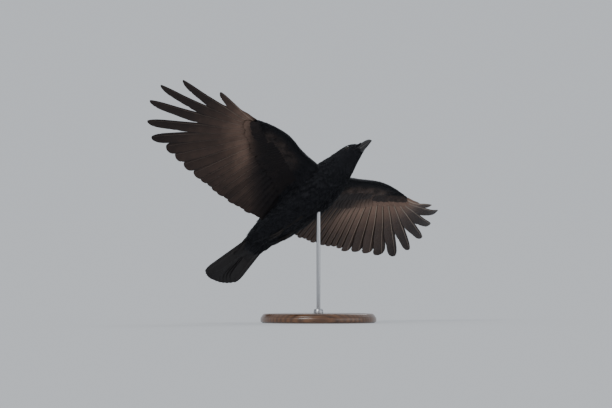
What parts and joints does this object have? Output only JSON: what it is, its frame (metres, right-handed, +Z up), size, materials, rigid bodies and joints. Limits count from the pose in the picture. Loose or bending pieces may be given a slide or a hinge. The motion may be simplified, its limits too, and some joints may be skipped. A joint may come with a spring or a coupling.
{
  "type": "crow",
  "caption": "Life-size still model of a black crow in a banking climb with spread wings, held above a plain round display stand by one upright rod.",
  "frame": {"origin": "middle of the round base's underside, where the stand rests", "axes": "+Z up along the stand's rod. Seen from -Y, the bird climbs to the right with its bill toward +X, its belly toward the viewer and its right wing raised"},
  "size_m": [0.6042, 0.6334, 0.5006],
  "materials": {
    "plumage": "blue-black body feathers with a silky gloss",
    "flight_feathers": "satin flight and tail feathers, brown-grey below and blue-black above",
    "horn": "black horn with a worn satin sheen",
    "eye": "very dark brown iris under a clear wet cornea",
    "leg_scale": "black scaled skin and claws",
    "stand_wood": "turned walnut with a satin lacquer",
    "stand_steel": "brushed round bar"
  },
  "bodies": {
    "root": {"trunk": "plumage", "neck": "plumage", "head": "plumage", "bill_upper": "horn", "bill_lower": "horn", "tail": "flight_feathers", "eye_right": "eye", "wing_arm_right": "plumage", "wing_hand_right": "plumage", "secondaries_right": "flight_feathers", "primaries_right": "flight_feathers", "leg_right": "leg_scale", "eye_left": "eye", "wing_arm_left": "plumage", "wing_hand_left": "plumage", "secondaries_left": "flight_feathers", "primaries_left": "flight_feathers", "leg_left": "leg_scale", "stand_base": "stand_wood", "stand_collar": "stand_steel", "stand_rod": "stand_steel"}
  },
  "joints": []
}
